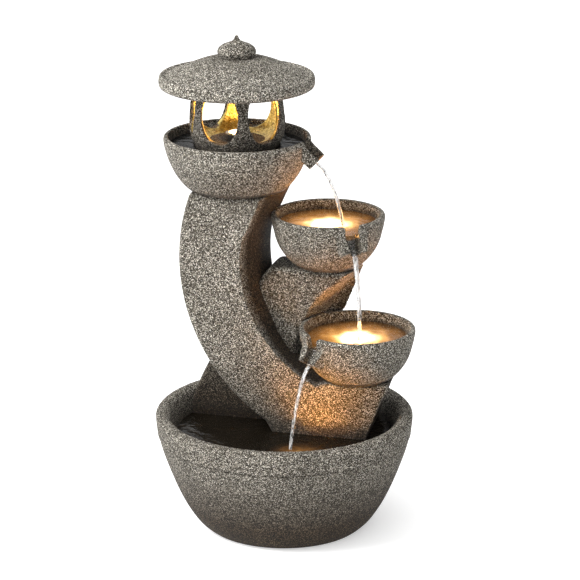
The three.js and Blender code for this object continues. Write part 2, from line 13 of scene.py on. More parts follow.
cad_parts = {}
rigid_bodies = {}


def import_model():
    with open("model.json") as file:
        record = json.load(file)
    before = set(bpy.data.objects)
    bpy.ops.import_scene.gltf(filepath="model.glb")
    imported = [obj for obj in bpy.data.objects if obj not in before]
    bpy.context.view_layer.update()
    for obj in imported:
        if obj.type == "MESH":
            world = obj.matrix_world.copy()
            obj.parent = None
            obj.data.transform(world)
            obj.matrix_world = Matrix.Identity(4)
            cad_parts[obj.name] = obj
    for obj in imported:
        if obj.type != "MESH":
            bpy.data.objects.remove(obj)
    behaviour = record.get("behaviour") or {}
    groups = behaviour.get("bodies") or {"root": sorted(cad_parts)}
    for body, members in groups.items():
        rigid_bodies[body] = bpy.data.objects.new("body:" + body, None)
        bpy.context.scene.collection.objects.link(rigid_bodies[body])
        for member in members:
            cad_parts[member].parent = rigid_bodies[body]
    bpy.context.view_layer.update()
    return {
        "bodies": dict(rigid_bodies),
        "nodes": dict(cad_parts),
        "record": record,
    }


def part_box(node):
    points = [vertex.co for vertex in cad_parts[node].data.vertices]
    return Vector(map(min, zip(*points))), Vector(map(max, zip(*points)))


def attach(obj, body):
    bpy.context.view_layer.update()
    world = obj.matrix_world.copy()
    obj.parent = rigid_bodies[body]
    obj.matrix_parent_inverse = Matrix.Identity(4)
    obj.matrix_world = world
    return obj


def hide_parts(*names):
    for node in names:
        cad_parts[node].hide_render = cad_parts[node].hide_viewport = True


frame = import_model()

MM = 0.001
GAP = 0.3                    # clearance between pieces
FLOOR_Z = 16                 # inside floor of the basin
GLAND_Z = 163                # height of the cable gland's axis
GLAND_RADIUS, DRAIN_RADIUS = 6, 11
HOSE_HOLE, LEAD_HOLE = 11, 4  # radii of the holes for the riser hose and the lamp's lead
LEAD_OFFSET = 21             # from the top bowl's axis to the lantern lamp's lead
FRONT_Y, REAR_Y, BACK_Y = -10, 40, 110   # faces of the two crescents
WALL = 10                    # thickness of the hollow crescents
EDGE = 7                     # soft edge of the cast crescents
ARC = {"x": 136.5, "z": 418, "outer": 304, "inner": 206}   # the front crescent's curve
CRESCENT_TOP = 521.7
REAR_TOP = 400
CAGE_FLOOR = 598             # floor of the lantern
BASIN_WATER = 148            # water level of the basin
BOWL_WATER, TOP_BOWL_WATER = -16, -13    # water levels below a bowl's rim
SOFT_EDGE = 0.4              # bevel of the CAD pieces that stay


# ---------- places read from the frame ----------
def middle_of(node):
    """Centre of a CAD node's box in millimetres."""
    low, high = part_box(node)
    return [(a + b) / 2 / MM for a, b in zip(low, high)]


def bowl_at(lens, node, radius, wall, turn):
    """A bowl's axis comes from its lamp's lens, and its rim from its box; turn aims the spout."""
    x, y, _ = middle_of(lens)
    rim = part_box(node)[1][2] / MM
    return {"x": x, "y": y, "rim": rim, "r": radius, "wall": wall, "turn": turn}


TOP_BOWL = bowl_at("lantern_lamp_lens", "top_bowl", 114, 9, 0)
TOP_BOWL["rim"] -= 1         # the top bowl's lip is rounded 1 mm above its rim plane
MIDDLE_BOWL = bowl_at("middle_lamp_lens", "middle_bowl", 88.5, 8, -50)
LOWER_BOWL = bowl_at("lower_lamp_lens", "lower_bowl", 90, 8, -129)
SPOT_LENS = middle_of("spot_lamp_lens")


# ---------- mesh tools ----------
def mesh_object(name, verts, faces):
    """An object from points in millimetres, with its faces pointing out."""
    mesh = bpy.data.meshes.new(name)
    mesh.from_pydata([tuple(MM * c for c in v) for v in verts], [], faces)
    work = bmesh.new()
    work.from_mesh(mesh)
    bmesh.ops.recalc_face_normals(work, faces=work.faces)
    work.to_mesh(mesh)
    work.free()
    obj = bpy.data.objects.new(name, mesh)
    bpy.context.collection.objects.link(obj)
    return obj


def curve(points, step=5):
    """Points along a smooth curve through the given ones."""
    out = []
    count = len(points)
    for i in range(count - 1):
        p0, p1 = points[max(i - 1, 0)], points[i]
        p2, p3 = points[i + 1], points[min(i + 2, count - 1)]
        n = max(1, math.ceil(math.dist(p1, p2) / step))
        for k in range(n):
            t = k / n
            out.append(tuple(
                0.5 * (2 * b + (c - a) * t + (2 * a - 5 * b + 4 * c - d) * t ** 2
                       + (3 * b - a - 3 * c + d) * t ** 3)
                for a, b, c, d in zip(p0, p1, p2, p3)))
    return out + [tuple(points[-1])]


def straight(points, step=5):
    """Points along straight lines between the given ones."""
    out = []
    for a, b in zip(points, points[1:]):
        n = max(1, math.ceil(math.dist(a, b) / step))
        out += [tuple(p + (q - p) * k / n for p, q in zip(a, b)) for k in range(n)]
    return out + [tuple(points[-1])]


def arc(x, z, r, start, end, step=5):
    """Points on an arc, its angles in degrees."""
    n = max(2, math.ceil(abs(math.radians(end - start)) * r / step))
    angles = [math.radians(start + (end - start) * k / n) for k in range(n + 1)]
    return [(x + r * math.cos(a), z + r * math.sin(a)) for a in angles]


def turned(name, profile, at=(0, 0, 0), segments=160):
    """A [radius, z] profile turned about the Z axis; it ends on the axis or closes on itself."""
    ring = profile[:-1] if profile[0] == profile[-1] else profile
    verts, rows = [], []
    for r, z in ring:
        if r < 1e-6:
            rows.append([len(verts)] * segments)
            verts.append((at[0], at[1], at[2] + z))
            continue
        rows.append([len(verts) + k for k in range(segments)])
        for k in range(segments):
            a = 2 * math.pi * k / segments
            verts.append((at[0] + r * math.cos(a), at[1] + r * math.sin(a), at[2] + z))
    pairs = list(zip(rows, rows[1:]))
    if profile[0] == profile[-1]:
        pairs.append((rows[-1], rows[0]))
    faces = []
    for low, high in pairs:
        for k in range(segments):
            n = (k + 1) % segments
            face = list(dict.fromkeys([low[k], low[n], high[n], high[k]]))
            if len(face) > 2:
                faces.append(face)
    return mesh_object(name, verts, faces)


def inward(outline):
    """The direction into the outline at each of its points."""
    area = sum(a[0] * b[1] - b[0] * a[1] for a, b in zip(outline, outline[1:] + outline[:1]))
    side = 1 if area > 0 else -1
    out = []
    for i, _ in enumerate(outline):
        a, b = outline[i - 1], outline[(i + 1) % len(outline)]
        d = math.dist(a, b) or 1
        out.append((-side * (b[1] - a[1]) / d, side * (b[0] - a[0]) / d))
    return out


def slab(name, outline, y0, y1, edge=0.0, shift=None, steps=6):
    """An XZ outline stretched along Y, with rounded edges; shift(x, y, z) moves a point in X."""
    outline = [p for p, q in zip(outline, outline[1:] + outline[:1]) if math.dist(p, q) > 1e-3]
    normals = inward(outline)
    bends = [math.radians(a) for a in ((0, 22, 45, 68, 90) if edge else (90,))]
    front = [(edge * (1 - math.sin(a)), y0 + edge * (1 - math.cos(a))) for a in bends]
    back = [(edge * (1 - math.sin(a)), y1 - edge * (1 - math.cos(a))) for a in reversed(bends)]
    span = back[0][1] - front[-1][1]
    mids = [(0, front[-1][1] + span * k / steps) for k in range(1, steps)]
    verts, count = [], len(outline)
    rings = front + mids + back
    for inset, y in rings:
        for (x, z), (nx, nz) in zip(outline, normals):
            px, pz = x + inset * nx, z + inset * nz
            verts.append((px + (shift(px, y, pz) if shift else 0), y, pz))
    last = count * (len(rings) - 1)
    faces = [list(range(count)), [last + k for k in reversed(range(count))]]
    for j in range(len(rings) - 1):
        for k in range(count):
            n = (k + 1) % count
            faces.append([j * count + k, (j + 1) * count + k, (j + 1) * count + n, j * count + n])
    return mesh_object(name, verts, faces)


def block(x0, x1, y0, y1, z0, z1):
    """A plain box, for cutting."""
    return slab("cutter", [(x0, z0), (x1, z0), (x1, z1), (x0, z1)], y0, y1, steps=1)


def rod(a, b, r, segments=32):
    """A cylinder between two points, for cutting."""
    length = math.dist(a, b)
    obj = turned("cutter", [(0, 0), (r, 0), (r, length), (0, length)], segments=segments)
    aim = (Vector(b) - Vector(a)).to_track_quat("Z", "Y").to_matrix().to_4x4()
    obj.data.transform(Matrix.Translation(MM * Vector(a)) @ aim)
    return obj


def settle(obj):
    """Applies the object's modifiers to its mesh."""
    graph = bpy.context.evaluated_depsgraph_get()
    obj.data = bpy.data.meshes.new_from_object(obj.evaluated_get(graph))
    obj.modifiers.clear()
    return obj


def combine(obj, operation, *tools):
    """Joins, cuts or trims a solid with other solids, which are used up."""
    for tool in tools:
        mod = obj.modifiers.new("combine", "BOOLEAN")
        mod.operation, mod.solver, mod.object = operation, "MANIFOLD", tool
    settle(obj)
    for tool in tools:
        bpy.data.objects.remove(tool)
    return obj


def cast(obj, voxel, rounds=4):
    """Softens a solid's edges as moulding does, by an even remesh and smoothing."""
    mod = obj.modifiers.new("even", "REMESH")
    mod.mode, mod.voxel_size = "VOXEL", voxel * MM
    ease = obj.modifiers.new("ease", "SMOOTH")
    ease.factor, ease.iterations = 0.5, rounds
    return settle(obj)


def smooth(obj, angle=38):
    """Smooth shading, with edges sharper than the angle kept."""
    obj.data.polygons.foreach_set("use_smooth", [True] * len(obj.data.polygons))
    obj.data.set_sharp_from_angle(angle=math.radians(angle))


def mark(obj, name, value):
    """Stores value(x, y, z), in millimetres, at each vertex for the material to read."""
    layer = obj.data.attributes.new(name, "FLOAT", "POINT")
    layer.data.foreach_set("value", [value(*(v.co / MM)) for v in obj.data.vertices])


def clamp(v):
    return max(0.0, min(1.0, v))


def ramp(v, start, end):
    """0 before start, 1 after end, and straight in between."""
    return clamp((v - start) / (end - start))


# ---------- materials ----------
class Nodes:
    """A material's node tree with short calls to add and link nodes."""

    def __init__(self, name):
        self.material = bpy.data.materials.new(name)
        self.material.use_nodes = True
        self.tree = self.material.node_tree
        self.tree.nodes.clear()
        self.out = self.tree.nodes.new("ShaderNodeOutputMaterial")
        self.coords = self.add("ShaderNodeTexCoord").outputs["Object"]

    def add(self, kind, inputs=None, **settings):
        node = self.tree.nodes.new(kind)
        for key, value in settings.items():
            setattr(node, key, value)
        for key, value in (inputs or {}).items():
            if isinstance(value, bpy.types.NodeSocket):
                self.tree.links.new(value, node.inputs[key])
            else:
                node.inputs[key].default_value = value
        return node

    def noise(self, scale, detail=3):
        inputs = {"Vector": self.coords, "Scale": scale, "Detail": detail}
        return self.add("ShaderNodeTexNoise", inputs).outputs["Fac"]

    def cells(self, scale):
        return self.add("ShaderNodeTexVoronoi", {"Vector": self.coords, "Scale": scale})

    def attribute(self, name):
        return self.add("ShaderNodeAttribute", attribute_name=name).outputs["Fac"]

    def red(self, colour):
        return self.add("ShaderNodeSeparateColor", {"Color": colour}).outputs["Red"]

    def colours(self, fac, stops):
        node = self.add("ShaderNodeValToRGB", {"Fac": fac})
        elements = node.color_ramp.elements
        while len(elements) < len(stops):
            elements.new(1)
        for element, (place, colour) in zip(elements, stops):
            element.position = place
            element.color = (*colour, 1)
        return node.outputs["Color"]

    def span(self, value, low, high, new_low=0.0, new_high=1.0):
        inputs = {"Value": value, "From Min": low, "From Max": high, "To Min": new_low,
                  "To Max": new_high}
        return self.add("ShaderNodeMapRange", inputs).outputs["Result"]

    def mix(self, fac, a, b, blend="MIX"):
        inputs = {"Factor": fac}
        node = self.add("ShaderNodeMix", inputs, data_type="RGBA", blend_type=blend)
        for socket, value in ((node.inputs[6], a), (node.inputs[7], b)):
            if isinstance(value, bpy.types.NodeSocket):
                self.tree.links.new(value, socket)
            else:
                socket.default_value = (*value, 1)
        return node.outputs[2]

    def math(self, operation, a, b):
        return self.add("ShaderNodeMath", {0: a, 1: b}, operation=operation).outputs[0]

    def blend(self, share, first, second):
        """One shader over another, by share."""
        node = self.add("ShaderNodeMixShader", {"Fac": share})
        self.tree.links.new(first.outputs[0], node.inputs[1])
        self.tree.links.new(second.outputs[0], node.inputs[2])
        return node

    def bump(self, height, strength, distance):
        inputs = {"Height": height, "Strength": strength, "Distance": distance * MM}
        return self.add("ShaderNodeBump", inputs).outputs["Normal"]

    def principled(self, **inputs):
        node = self.add("ShaderNodeBsdfPrincipled",
                        {key.replace("_", " "): value for key, value in inputs.items()})
        self.finish(node.outputs["BSDF"])
        return self.material

    def finish(self, shader):
        self.tree.links.new(shader, self.out.inputs["Surface"])
        return self.material


def granite():
    """Cast stone: pale, grey and dark grains, a brown painted shade, darker where wet."""
    n = Nodes("granite")
    grain = n.cells(1080)
    colour = n.colours(n.red(grain.outputs["Color"]), [
        (0.10, (0.010, 0.009, 0.008)), (0.36, (0.036, 0.032, 0.026)), (0.58, (0.100, 0.090, 0.074)),
        (0.74, (0.210, 0.192, 0.160)), (0.87, (0.50, 0.470, 0.405)), (0.97, (1.0, 0.97, 0.90)),
    ])
    fine = n.colours(n.noise(2400, 2), [(0.3, (0.45, 0.44, 0.42)), (0.7, (1.5, 1.48, 1.42))])
    colour = n.mix(0.35, colour, fine, "MULTIPLY")
    cloud = n.colours(n.noise(16, 4), [(0.3, (0.94, 0.93, 0.90)), (0.7, (1.25, 1.24, 1.22))])
    colour = n.mix(1.0, colour, cloud, "MULTIPLY")
    # Painted shade: the colour is browned and darkened as far as the vertex attribute asks.
    painted_shade_tone = n.mix(1.0, colour, (0.16, 0.118, 0.080), "MULTIPLY")
    colour = n.mix(n.attribute("painted_shade"), colour, painted_shade_tone)
    patchy = n.math("MULTIPLY", n.attribute("wet"), n.span(n.noise(60, 3), 0.25, 0.6, 0.65, 1))
    colour = n.mix(patchy, colour, n.mix(1.0, colour, (0.33, 0.30, 0.26), "MULTIPLY"))
    rough = n.math("SUBTRACT", n.span(n.noise(900, 2), 0.3, 0.7, 0.74, 0.92),
                   n.math("MULTIPLY", patchy, 0.52))
    pits = n.math("ADD", n.math("MULTIPLY", grain.outputs["Distance"], 900.0), n.noise(1300, 3))
    normal = n.bump(pits, 0.55, 0.35)
    uneven = n.add("ShaderNodeBump", {"Height": n.noise(70, 3), "Strength": 0.35,
                                      "Distance": 1.6 * MM, "Normal": normal}).outputs["Normal"]
    return n.principled(Base_Color=colour, Roughness=rough, Normal=uneven, IOR=1.33)


def gold():
    """Antique gold paint over the stone inside the lantern."""
    n = Nodes("gold_paint")
    tone = n.red(n.cells(420).outputs["Color"])
    colour = n.colours(tone, [(0.0, (0.34, 0.24, 0.05)), (0.5, (0.60, 0.46, 0.13)),
                              (1.0, (0.86, 0.72, 0.28))])
    worn = n.span(n.noise(150, 4), 0.55, 0.72)
    colour = n.mix(worn, colour, (0.16, 0.10, 0.04))
    rough = n.span(n.noise(500, 3), 0.3, 0.7, 0.22, 0.46)
    normal = n.bump(n.noise(260, 4), 0.7, 0.9)
    return n.principled(Base_Color=colour, Metallic=0.85, Roughness=rough, Normal=normal)


def plain(name, low, high, rough, bump_scale, bump_depth, **settings):
    """A moulded or rolled finish: a little tone variation, uneven gloss and a fine surface."""
    n = Nodes(name)
    colour = n.colours(n.noise(90, 4), [(0.35, low), (0.65, high)])
    gloss = n.span(n.noise(400, 3), 0.3, 0.7, rough - 0.06, rough + 0.08)
    normal = n.bump(n.noise(bump_scale, 3), 0.5, bump_depth)
    return n.principled(Base_Color=colour, Roughness=gloss, Normal=normal, **settings)


def foam():
    """Blue-black filter foam with open cells."""
    n = Nodes("open_foam")
    cell = n.cells(900).outputs["Distance"]
    colour = n.colours(cell, [(0.1, (0.10, 0.13, 0.15)), (0.6, (0.01, 0.014, 0.018))])
    normal = n.bump(cell, 1.0, 0.8)
    return n.principled(Base_Color=colour, Roughness=0.95, Normal=normal)


def lens(name, strength):
    """A frosted warm lamp lens of mottled tone."""
    n = Nodes(name)
    tone = n.colours(n.noise(220, 2), [(0.3, (1.0, 0.70, 0.34)), (0.7, (1.0, 0.82, 0.52))])
    return n.principled(Base_Color=tone, Roughness=0.25, Emission_Color=tone,
                        Emission_Strength=strength)


def surface_water(name, tint, clear, murk_share, ripple, lit=0.0):
    """A gently moving water surface: it mirrors by angle, darkens what lies below, and carries
    the light of the lamp under it where the attribute "glow" says so."""
    n = Nodes(name)
    wave = n.math("ADD", n.noise(38, 3), n.math("MULTIPLY", n.noise(130, 2), 0.35))
    normal = n.bump(wave, ripple, 2.2)
    gloss = n.add("ShaderNodeBsdfGlossy", {"Roughness": 0.05, "Normal": normal})
    body = n.add("ShaderNodeBsdfTransparent", {"Color": (*clear, 1)})
    murk_tone = n.colours(n.noise(25, 3), [(0.3, tuple(0.7 * c for c in tint)), (0.7, tint)])
    murk = n.add("ShaderNodeBsdfDiffuse", {"Color": murk_tone})
    depth = n.blend(murk_share, body, murk)
    facing = n.add("ShaderNodeFresnel", {"IOR": 1.36, "Normal": normal})
    whole = n.blend(facing.outputs[0], depth, gloss)
    if not lit:
        return n.finish(whole.outputs[0])
    reach = n.attribute("glow")
    glow = n.math("ADD", reach, n.math("MULTIPLY", n.math("SUBTRACT", n.noise(75, 4), 0.5), 0.34))
    tone = n.colours(glow, [
        (0.0, (0.03, 0.014, 0.006)), (0.16, (0.06, 0.028, 0.009)), (0.36, (0.20, 0.092, 0.026)),
        (0.54, (0.52, 0.28, 0.085)), (0.70, (0.95, 0.70, 0.34)), (0.90, (1.0, 0.95, 0.84)),
    ])
    power = n.math("MULTIPLY", n.span(reach, 0.0, 0.16), n.span(glow, 0.1, 0.9, 0.55 * lit, lit))
    light = n.add("ShaderNodeEmission", {"Color": tone, "Strength": power})
    both = n.add("ShaderNodeAddShader")
    n.tree.links.new(whole.outputs[0], both.inputs[0])
    n.tree.links.new(light.outputs[0], both.inputs[1])
    return n.finish(both.outputs[0])


def falling_water():
    """Clear streaming water with painted bright and dark streaks for its highlights and
    reflections.
    """
    n = Nodes("falling_water")
    stretch = n.add("ShaderNodeMapping", {"Vector": n.coords, "Scale": (1, 1, 0.22)})
    streak = n.add("ShaderNodeTexNoise", {"Vector": stretch.outputs[0], "Scale": 420.0,
                                          "Detail": 3.0}).outputs["Fac"]
    normal = n.bump(streak, 0.8, 1.2)
    glass = n.add("ShaderNodeBsdfGlass", {"Roughness": 0.02, "IOR": 1.33, "Normal": normal})
    # Painted highlights and reflections: a diffuse layer of pale and dark streaks over the glass.
    painted_streak_tone = n.colours(streak, [(0.4, (0.06, 0.06, 0.06)), (0.58, (0.80, 0.80, 0.79))])
    painted_streaks = n.add("ShaderNodeBsdfDiffuse", {"Color": painted_streak_tone})
    share = n.math("MULTIPLY", n.span(streak, 0.38, 0.62, 0.20, 0.56), n.attribute("fall"))
    return n.finish(n.blend(share, glass, painted_streaks).outputs[0])


STONE = granite()
GOLD = gold()
STEEL = plain("brushed_steel", (0.52, 0.52, 0.53), (0.68, 0.68, 0.68), 0.28, 700, 0.03,
              Metallic=1.0)
RUBBER = plain("rubber", (0.012, 0.012, 0.012), (0.03, 0.03, 0.03), 0.75, 1200, 0.08)
HOSE = plain("vinyl_hose", (0.50, 0.58, 0.56), (0.68, 0.74, 0.72), 0.28, 300, 0.1)
BLACK = plain("black_plastic", (0.010, 0.011, 0.012), (0.022, 0.023, 0.026), 0.42, 1800, 0.05)
GREY = plain("grey_plastic", (0.035, 0.038, 0.044), (0.055, 0.058, 0.066), 0.45, 1800, 0.05)
CERAMIC = plain("ceramic", (0.78, 0.76, 0.70), (0.88, 0.86, 0.82), 0.2, 900, 0.02)
MAGNET = plain("ferrite", (0.05, 0.052, 0.06), (0.09, 0.095, 0.11), 0.4, 1500, 0.05,
               Metallic=0.3)
FOAM = foam()
LENS = {
    "lantern_lamp": lens("lantern_lens", 5.0),
    "middle_lamp": lens("middle_lens", 14.0),
    "lower_lamp": lens("lower_lens", 14.0),
    "spot_lamp": lens("spot_lens", 6.0),
}
POOL_WATER = surface_water("pool_water", (0.022, 0.017, 0.011), (0.30, 0.25, 0.19), 0.35, 1.8,
                           lit=0.8)
TOP_WATER = surface_water("top_water", (0.020, 0.020, 0.020), (0.30, 0.29, 0.27), 0.35, 1.6)
LIT_WATER = surface_water("lit_water", (0.20, 0.12, 0.06), (0.80, 0.70, 0.56), 0.10, 1.0,
                          lit=1.0)
STREAM = falling_water()


# ---------- stone pieces ----------
def keep(obj, material, slot, *nodes, angle=38):
    """Makes a finished piece stand for its CAD nodes on the fountain's body."""
    smooth(obj, angle)
    obj.data.materials.clear()
    obj.data.materials.append(material)
    body = next((b for b, e in frame["bodies"].items()
                 if nodes and frame["nodes"][nodes[0]].parent is e), "fountain")
    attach(obj, body)
    if nodes:
        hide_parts(*nodes)
    return obj


BASIN_INSIDE = [(112, 16), (128, 25), (145, 58), (160, 108), (169, 150), (176, 172)]
BASIN_RIM = [(180, 179), (186, 183), (193.5, 183), (198.5, 180), (200, 174)]
BASIN_SIDE = [(196, 146), (190, 124), (178, 90), (166.5, 62), (154.5, 38), (140, 16), (128, 4)]
BASIN_SEAM = [(197.4, 148.4), (197.0, 147.6), (195.0, 147.2), (194.9, 146.5), (195.9, 146.0)]
# Heights and radii midway through the basin's wall, which part its inside from its outside.
BASIN_MIDDLE = [(10, 0), (14, 122), (25, 137), (58, 155), (108, 172), (150, 183), (182, 187),
                (190, 187)]


def in_basin(x, y, z):
    """Whether a point of the basin belongs to its inside face rather than its outside."""
    for (z0, r0), (z1, r1) in zip(BASIN_MIDDLE, BASIN_MIDDLE[1:]):
        if z0 <= z <= z1:
            return math.hypot(x, y) < r0 + (r1 - r0) * (z - z0) / (z1 - z0)
    return False


def basin():
    """The round basin, with a mould line under its rim and holes for the drain and the gland."""
    inner = curve(BASIN_INSIDE + BASIN_RIM[:2], 4)
    rim = curve(BASIN_RIM[1:] + BASIN_SEAM[:1], 2)
    outer = curve(BASIN_SIDE, 4)
    foot = [(124, 1), (119, 0), (0, 0)]
    floor = [(r, FLOOR_Z) for r in (0, 40, 80, 106)]
    profile = floor + inner + rim[1:] + BASIN_SEAM[1:] + outer[1:] + foot
    obj = turned("basin_casting", profile, segments=240)
    x, y, _ = middle_of("drain_plug")
    holes = [rod((x, y, -5), (x, y, 40), DRAIN_RADIUS + GAP),
             rod((0, 140, GLAND_Z), (0, 230, GLAND_Z), GLAND_RADIUS + GAP)]
    combine(obj, "DIFFERENCE", *holes)

    def wet(x, y, z):
        return 1 - ramp(z, BASIN_WATER + 2, BASIN_WATER + 16) if in_basin(x, y, z) else 0.0

    # Painted shade: a little over the inside, and deepening down the outside towards the foot,
    # where the wall turns under.
    def painted_shade(x, y, z):
        if in_basin(x, y, z):
            return 0.28
        return 1.0 - 0.52 * ramp(z, 40, 124) - 0.22 * ramp(z, 100, 178)

    mark(obj, "wet", wet)
    mark(obj, "painted_shade", painted_shade)
    return keep(obj, STONE, "stone", "basin")


def room():
    """The space the basin leaves for what stands in it."""
    inside = [(r - GAP, z + GAP) for r, z in curve(BASIN_INSIDE, 4)]
    above = [(176, 236), (400, 236), (400, 900), (0, 900)]
    return turned("cutter", [(0, FLOOR_Z + GAP)] + inside + above, segments=120)


def crescent_outline():
    """The front crescent from the front: its curve, its foot and the horn under the top bowl."""
    start = 180 - math.degrees(math.asin((CRESCENT_TOP - ARC["z"]) / ARC["outer"]))
    outer = arc(ARC["x"], ARC["z"], ARC["outer"], start, 237)
    heel = curve([outer[-1], (-18, 145), (-4, 127), (7, 95), (12, FLOOR_Z)])
    sole = straight([(12, FLOOR_Z), (112, FLOOR_Z)])
    toe = curve([(112, FLOOR_Z), (116, 80), (124, 120), (133, 151), (147, 188), (166, 230)])
    ledge = straight([(166, 230), (166, 240), (78, 246)])
    inner = arc(ARC["x"], ARC["z"], ARC["inner"], 246, 170)
    horn = curve([inner[-1], (-55, 477), (-47, 496), (-35, CRESCENT_TOP)])
    top = straight([(-35, CRESCENT_TOP), outer[0]])
    runs = [outer, heel, sole, toe, ledge, inner, horn, top]
    return [p for run in runs for p in run[:-1]]


def crescent_shift(x, y, z):
    """The inner side leans out towards the back, and the end of the foot tucks in."""
    depth = (y - FRONT_Y) / (BACK_Y - FRONT_Y)
    from_axis = math.hypot(x - ARC["x"], z - ARC["z"])
    across = (ARC["outer"] - from_axis) / (ARC["outer"] - ARC["inner"])
    lean = 20 * math.sin(min(1, 1.3 * depth) * math.pi / 2) * ramp(z, 250, 320) * clamp(across)
    return lean - 10 * depth * ramp(x, 100, 160)


def crescent_hollow():
    """The space inside the front crescent, for cutting."""
    outer = arc(ARC["x"], ARC["z"], ARC["outer"] - WALL, 162, 236)
    foot = [(20, 112), (23, 11), (101, 11), (106, 90), (123, 150), (146, 222), (90, 222)]
    inner = arc(ARC["x"], ARC["z"], ARC["inner"] + WALL, 244, 166)
    return slab("cutter", outer + foot + inner, FRONT_Y + WALL, BACK_Y - WALL, steps=1)


REAR_LEFT = [(-150, FLOOR_Z), (-163, 110), (-167, 151), (-156, 190), (-134, 238), (-86, 318),
             (-47, 384), (-32, REAR_TOP)]
REAR_RIGHT = [(96, REAR_TOP), (72, 378), (52, 363), (37, 346), (26, 329), (12, 295), (2, 250),
              (-4, 200), (-4, 150), (2, 100), (4, FLOOR_Z)]


def rear_shift(x, y, z):
    """The right side of the rear crescent leans out towards the back."""
    if x <= -20 or z <= 120:
        return 0
    depth = (y - REAR_Y) / (BACK_Y - REAR_Y)
    rise = math.sin(ramp(z, 200, 330) * math.pi / 2)
    return 26 * depth * rise * ramp(REAR_TOP + 10 - z, 0, 50)


def rear_slab(name, edge, grow=0.0):
    """The rear crescent, or with grow, the space that it takes up in other pieces."""
    left = [(x - grow, z) for x, z in curve(REAR_LEFT)]
    right = [(x + grow, z) for x, z in curve(REAR_RIGHT)]
    top, sole = straight([left[-1], right[0]]), straight([right[-1], left[0]])
    outline = left[:-1] + top + right[1:-1] + sole[:-1]
    return slab(name, outline, REAR_Y - grow, BACK_Y + grow, edge, rear_shift)


def rear_hollow():
    """The space inside the rear crescent, for cutting."""
    left = [(x + 1.3 * WALL, z - 4) for x, z in REAR_LEFT[:7]]
    right = [(x - WALL, z - 4) for x, z in REAR_RIGHT[2:]]
    return slab("cutter", left + right, REAR_Y + WALL, BACK_Y - WALL, steps=1)


def foot_wet(x, y, z):
    """Stone is dark and wet just above the pool."""
    return 1 - ramp(z, BASIN_WATER + 6, BASIN_WATER + 30)


def front_shade(x, y, z):
    """Painted brown shade in the hollow of the curve, near the top under the top bowl and low down;
    paler on the front and back faces.
    """
    off_face = ramp(y, FRONT_Y + 2, FRONT_Y + 26) * (1 - ramp(y, BACK_Y - 7, BACK_Y - 1))
    from_axis = math.hypot(x - ARC["x"], z - ARC["z"])
    inside = 1 - ramp(from_axis, ARC["inner"] + 4, ARC["inner"] + 40)
    high, low = ramp(z, 440, 515), 1 - ramp(z, 165, 290)
    return clamp(0.14 + 0.14 * high + off_face * inside + 0.5 * low)


def rear_shade(x, y, z):
    """Painted shade: the rear crescent browns towards the pool, in the shadow of the front crescent
    and the basin.
    """
    return 0.34 + 0.60 * (1 - ramp(z, 180, 300))


def cast_crescent(obj, holes, painted_shade, node):
    """Cuts a crescent's holes and the bowls' seats, fits it in the basin and finishes it."""
    seats = [bowl_seat(b) for b in (MIDDLE_BOWL, LOWER_BOWL)]
    combine(obj, "DIFFERENCE", *holes, *seats)
    combine(obj, "INTERSECT", room())
    cast(obj, 2.2)
    mark(obj, "wet", foot_wet)
    # Painted shade from the given function.
    mark(obj, "painted_shade", painted_shade)
    keep(obj, STONE, "stone", node, angle=80)


def crescents():
    """The two interlocked columns, hollow, with the way for the hose, the leads and the door."""
    x, y = TOP_BOWL["x"], TOP_BOWL["y"]
    under_top = rod((x, y, 470), (x, y, 530), 26)
    x, y = LOWER_BOWL["x"], LOWER_BOWL["y"]
    under_lower = rod((x, y, 205), (x, y, 265), 8)
    holes = [crescent_hollow(), rear_slab("cutter", 0, GAP), under_top, under_lower,
             block(0, 40, 80, 106, 5, 40)]
    front = slab("front_crescent_casting", crescent_outline(), FRONT_Y, BACK_Y, EDGE,
                 crescent_shift)
    cast_crescent(front, holes, front_shade, "front_crescent")

    (x0, _, z0), (x1, _, z1) = [[v / MM for v in corner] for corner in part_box("pump_door")]
    holes = [rear_hollow(), block(x0 - 1, x1 + 1, 90, BACK_Y + 5, z0 - 1, z1 + 1),
             block(-14, 12, 84, 99, 5, 48), block(-104, -88, 30, 60, 5, 30)]
    cast_crescent(rear_slab("rear_crescent_casting", EDGE), holes, rear_shade, "rear_crescent")


# ---------- bowls ----------
# The lip and the channel each have a width at the rim and a width at the tip. The spout starts
# this far from the bowl's axis; depth is that of the channel, square to its floor.
TOP_SPOUT = {"slope": math.radians(43), "start": 105, "length": 40, "lip": (46, 42),
             "channel": (34, 30), "depth": 13}
SMALL_SPOUT = {"slope": math.radians(58), "start": 75, "length": 46.5, "lip": (62, 38),
               "channel": (28, 16.5), "depth": 10}


def place(obj, bowl):
    """Turns and moves a shape from a bowl's own axes, where +X is its spout, to its place."""
    spin = Matrix.Rotation(math.radians(bowl["turn"]), 4, "Z")
    obj.data.transform(Matrix.Translation(MM * Vector((bowl["x"], bowl["y"], bowl["rim"]))) @ spin)
    return obj


def trough(spout, widths, back, beyond, low, high):
    """A sloping wedge on the +X side, for a spout's lip or its channel."""
    w0, w1 = widths
    length = spout["length"] + beyond
    start = w0 / 2 - (w1 - w0) / length / 2 * back
    plan = [(-back, -start), (length, -w1 / 2), (length, w1 / 2), (-back, start)]
    verts = [(u, v, t) for t in (low, high) for u, v in plan]
    sides = [[k, (k + 1) % 4, (k + 1) % 4 + 4, k + 4] for k in range(4)]
    faces = [[0, 3, 2, 1], [4, 5, 6, 7]] + sides
    obj = mesh_object("cutter", verts, faces)
    slope = Matrix.Rotation(spout["slope"], 4, "Y")
    obj.data.transform(Matrix.Translation((spout["start"] * MM, 0, 0)) @ slope)
    return obj


TOP_SIDE = [(76, -81), (79, -78.5), (88, -69), (98, -54), (107, -34), (112.5, -15), (114, -4)]


SMALL_SIDE = [(44, -84), (52, -80.5), (65, -69), (76, -54), (83, -38), (87, -20), (90, -6)]


